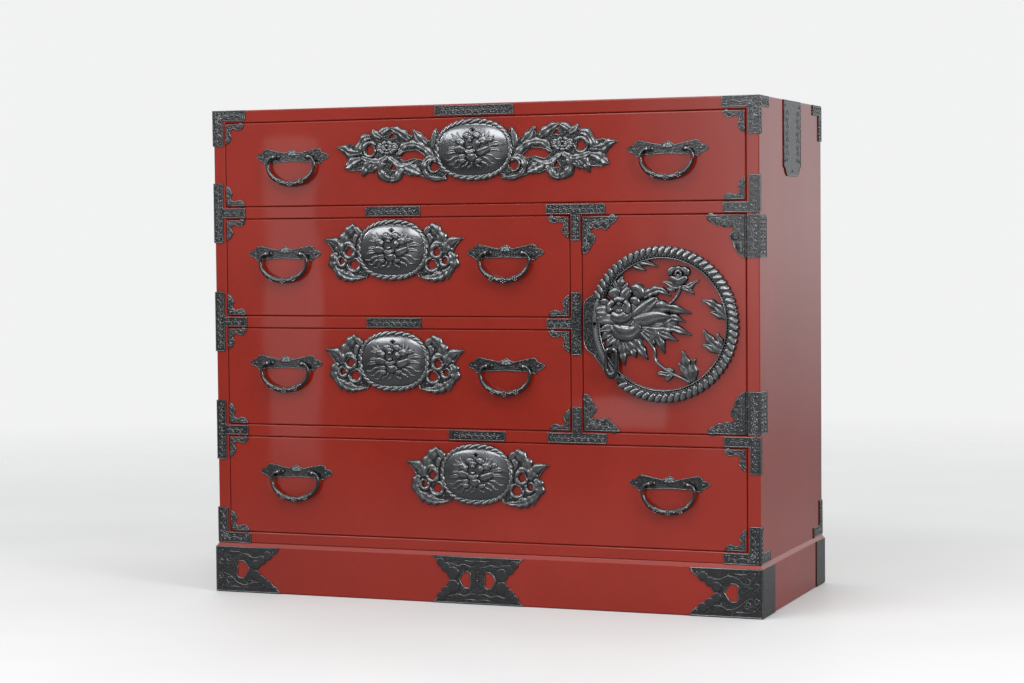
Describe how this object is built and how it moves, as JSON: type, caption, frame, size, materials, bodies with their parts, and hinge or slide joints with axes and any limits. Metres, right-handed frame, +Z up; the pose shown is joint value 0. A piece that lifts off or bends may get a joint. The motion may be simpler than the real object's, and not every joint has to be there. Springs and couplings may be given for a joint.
{
  "type": "tansu chest",
  "caption": "Low Japanese merchant's chest in red lacquer with black iron fittings: sliding drawers, a hinged cupboard door with a ring lock plate, and drop handles.",
  "frame": {"origin": "under the middle of the whole piece, on the floor it stands on", "axes": "+X to the right across the front, +Y to the back, +Z up; the drawers open towards -Y"},
  "size_m": [1.0712, 0.4666, 0.91],
  "materials": {
    "lacquered_wood": "glossy red-brown lacquer",
    "plain_wood": "plain planed softwood",
    "iron": "black baked and lacquered iron, embossed"
  },
  "bodies": {
    "carcase": {"left_side_panel": "lacquered_wood", "right_side_panel": "lacquered_wood", "top_board": "lacquered_wood", "bottom_board": "lacquered_wood", "back_panel": "plain_wood", "upper_rail_board": "lacquered_wood", "middle_rail_board": "lacquered_wood", "lower_rail_board": "lacquered_wood", "centre_divider": "lacquered_wood", "cupboard_shelf": "plain_wood", "plinth_boards": "lacquered_wood", "front_corner_plates": "iron", "rail_end_plates": "iron", "rail_plates": "iron", "divider_plates": "iron", "side_straps": "iron", "rear_corner_plates": "iron", "plinth_plates": "iron", "hinge_frame_leaves": "iron", "hinge_pins": "iron"},
    "door": {"door_panel": "lacquered_wood", "door_corner_plates": "iron", "door_hinge_leaves": "iron", "door_ring": "iron", "door_peony": "iron", "door_lock_case": "iron"},
    "door_lock_bolt": {"door_lock_bolt": "iron"},
    "door_pull": {"door_pull": "iron"},
    "top_drawer": {"top_drawer_front": "lacquered_wood", "top_drawer_box": "plain_wood", "top_drawer_fittings": "iron", "top_drawer_lock_plate": "iron", "top_drawer_lock_case": "iron"},
    "top_drawer_bolt": {"top_drawer_lock_bolt": "iron"},
    "top_drawer_left_bail": {"top_drawer_left_bail": "iron"},
    "top_drawer_right_bail": {"top_drawer_right_bail": "iron"},
    "upper_drawer": {"upper_drawer_front": "lacquered_wood", "upper_drawer_box": "plain_wood", "upper_drawer_fittings": "iron", "upper_drawer_lock_plate": "iron", "upper_drawer_lock_case": "iron"},
    "upper_drawer_bolt": {"upper_drawer_lock_bolt": "iron"},
    "upper_drawer_left_bail": {"upper_drawer_left_bail": "iron"},
    "upper_drawer_right_bail": {"upper_drawer_right_bail": "iron"},
    "lower_drawer": {"lower_drawer_front": "lacquered_wood", "lower_drawer_box": "plain_wood", "lower_drawer_fittings": "iron", "lower_drawer_lock_plate": "iron", "lower_drawer_lock_case": "iron"},
    "lower_drawer_bolt": {"lower_drawer_lock_bolt": "iron"},
    "lower_drawer_left_bail": {"lower_drawer_left_bail": "iron"},
    "lower_drawer_right_bail": {"lower_drawer_right_bail": "iron"},
    "bottom_drawer": {"bottom_drawer_front": "lacquered_wood", "bottom_drawer_box": "plain_wood", "bottom_drawer_fittings": "iron", "bottom_drawer_lock_plate": "iron", "bottom_drawer_lock_case": "iron"},
    "bottom_drawer_bolt": {"bottom_drawer_lock_bolt": "iron"},
    "bottom_drawer_left_bail": {"bottom_drawer_left_bail": "iron"},
    "bottom_drawer_right_bail": {"bottom_drawer_right_bail": "iron"}
  },
  "joints": [
    {"name": "door_swing", "type": "hinge", "parent": "carcase", "child": "door", "pos_m": [0.506, -0.2178, 0.5128], "axis": [0, 0, 1], "range_deg": [0, 130]},
    {"name": "door_bolt_slide", "type": "slide", "parent": "door", "child": "door_lock_bolt", "axis": [-1, 0, 0], "range_m": [0, 0.01]},
    {"name": "door_pull_swing", "type": "hinge", "parent": "door", "child": "door_pull", "pos_m": [0.26225, -0.2295, 0.4678], "axis": [-1, 0, 0], "range_deg": [0, 80]},
    {"name": "top_drawer_slide", "type": "slide", "parent": "carcase", "child": "top_drawer", "axis": [0, -1, 0], "range_m": [0, 0.36]},
    {"name": "top_drawer_bolt_slide", "type": "slide", "parent": "top_drawer", "child": "top_drawer_bolt", "axis": [0, 0, 1], "range_m": [0, 0.01]},
    {"name": "top_drawer_left_bail_swing", "type": "hinge", "parent": "top_drawer", "child": "top_drawer_left_bail", "pos_m": [-0.36521, -0.2247, 0.8215], "axis": [-1, 0, 0], "range_deg": [0, 95]},
    {"name": "top_drawer_right_bail_swing", "type": "hinge", "parent": "top_drawer", "child": "top_drawer_right_bail", "pos_m": [0.36521, -0.2247, 0.8215], "axis": [-1, 0, 0], "range_deg": [0, 95]},
    {"name": "upper_drawer_slide", "type": "slide", "parent": "carcase", "child": "upper_drawer", "axis": [0, -1, 0], "range_m": [0, 0.36]},
    {"name": "upper_drawer_bolt_slide", "type": "slide", "parent": "upper_drawer", "child": "upper_drawer_bolt", "axis": [0, 0, 1], "range_m": [0, 0.01]},
    {"name": "upper_drawer_left_bail_swing", "type": "hinge", "parent": "upper_drawer", "child": "upper_drawer_left_bail", "pos_m": [-0.38317, -0.2247, 0.6412], "axis": [-1, 0, 0], "range_deg": [0, 95]},
    {"name": "upper_drawer_right_bail_swing", "type": "hinge", "parent": "upper_drawer", "child": "upper_drawer_right_bail", "pos_m": [0.05867, -0.2247, 0.6412], "axis": [-1, 0, 0], "range_deg": [0, 95]},
    {"name": "lower_drawer_slide", "type": "slide", "parent": "carcase", "child": "lower_drawer", "axis": [0, -1, 0], "range_m": [0, 0.36]},
    {"name": "lower_drawer_bolt_slide", "type": "slide", "parent": "lower_drawer", "child": "lower_drawer_bolt", "axis": [0, 0, 1], "range_m": [0, 0.01]},
    {"name": "lower_drawer_left_bail_swing", "type": "hinge", "parent": "lower_drawer", "child": "lower_drawer_left_bail", "pos_m": [-0.38317, -0.2247, 0.4368], "axis": [-1, 0, 0], "range_deg": [0, 95]},
    {"name": "lower_drawer_right_bail_swing", "type": "hinge", "parent": "lower_drawer", "child": "lower_drawer_right_bail", "pos_m": [0.05867, -0.2247, 0.4368], "axis": [-1, 0, 0], "range_deg": [0, 95]},
    {"name": "bottom_drawer_slide", "type": "slide", "parent": "carcase", "child": "bottom_drawer", "axis": [0, -1, 0], "range_m": [0, 0.36]},
    {"name": "bottom_drawer_bolt_slide", "type": "slide", "parent": "bottom_drawer", "child": "bottom_drawer_bolt", "axis": [0, 0, 1], "range_m": [0, 0.01]},
    {"name": "bottom_drawer_left_bail_swing", "type": "hinge", "parent": "bottom_drawer", "child": "bottom_drawer_left_bail", "pos_m": [-0.36521, -0.2247, 0.2324], "axis": [-1, 0, 0], "range_deg": [0, 95]},
    {"name": "bottom_drawer_right_bail_swing", "type": "hinge", "parent": "bottom_drawer", "child": "bottom_drawer_right_bail", "pos_m": [0.36521, -0.2247, 0.2324], "axis": [-1, 0, 0], "range_deg": [0, 95]}
  ]
}
